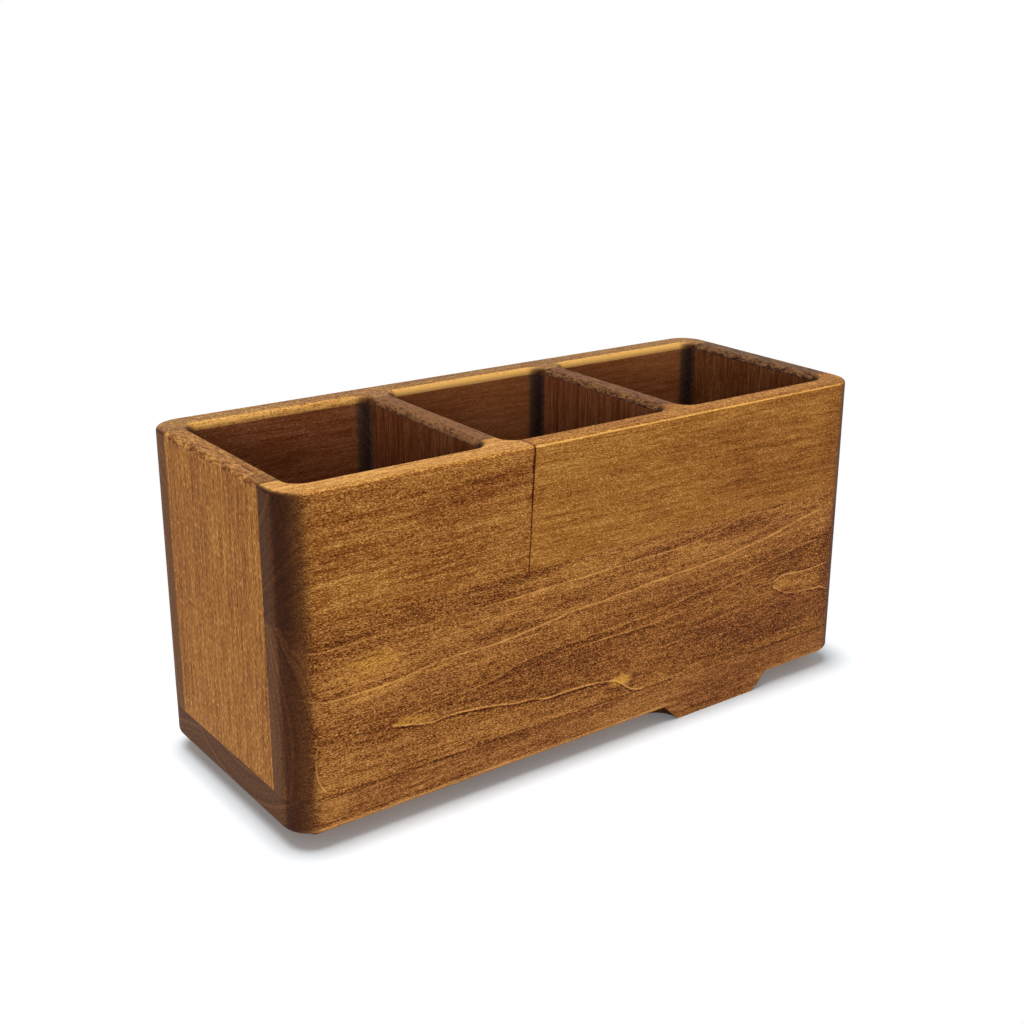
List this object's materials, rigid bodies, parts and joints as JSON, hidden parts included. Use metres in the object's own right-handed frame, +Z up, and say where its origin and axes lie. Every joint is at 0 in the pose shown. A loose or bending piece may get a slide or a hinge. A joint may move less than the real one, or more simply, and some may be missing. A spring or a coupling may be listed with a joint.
{
  "type": "cutlery caddy",
  "caption": "Long wooden cutlery caddy with open compartments side by side, rounded corners and rim, on an inset plinth with a front tab.",
  "frame": {"origin": "middle of the caddy's outline, on the surface it stands on", "axes": "+X along the caddy to the right seen from the front, +Y from front to back, +Z up"},
  "size_m": [0.3, 0.119, 0.1451],
  "materials": {
    "red_brown_wood": "satin oiled stain",
    "amber_brown_wood": "satin oiled stain",
    "honey_wood": "satin oiled stain",
    "dark_brown_wood": "satin oiled stain",
    "plain_dowel_wood": "raw"
  },
  "bodies": {
    "root": {"base_front_plank": "red_brown_wood", "base_rear_plank": "red_brown_wood", "front_lower_plank": "red_brown_wood", "front_upper_left_stave": "amber_brown_wood", "front_upper_right_stave": "honey_wood", "back_lower_plank": "red_brown_wood", "back_upper_left_stave": "amber_brown_wood", "back_upper_right_stave": "honey_wood", "left_end_wide_stave": "honey_wood", "left_end_narrow_stave": "honey_wood", "right_end_wide_stave": "honey_wood", "right_end_narrow_stave": "honey_wood", "left_divider_wide_stave": "dark_brown_wood", "left_divider_narrow_stave": "dark_brown_wood", "right_divider_wide_stave": "dark_brown_wood", "right_divider_narrow_stave": "dark_brown_wood", "front_wall_dowels": "plain_dowel_wood", "back_wall_dowels": "plain_dowel_wood", "end_panel_dowels": "plain_dowel_wood", "divider_dowels": "plain_dowel_wood"}
  },
  "joints": []
}
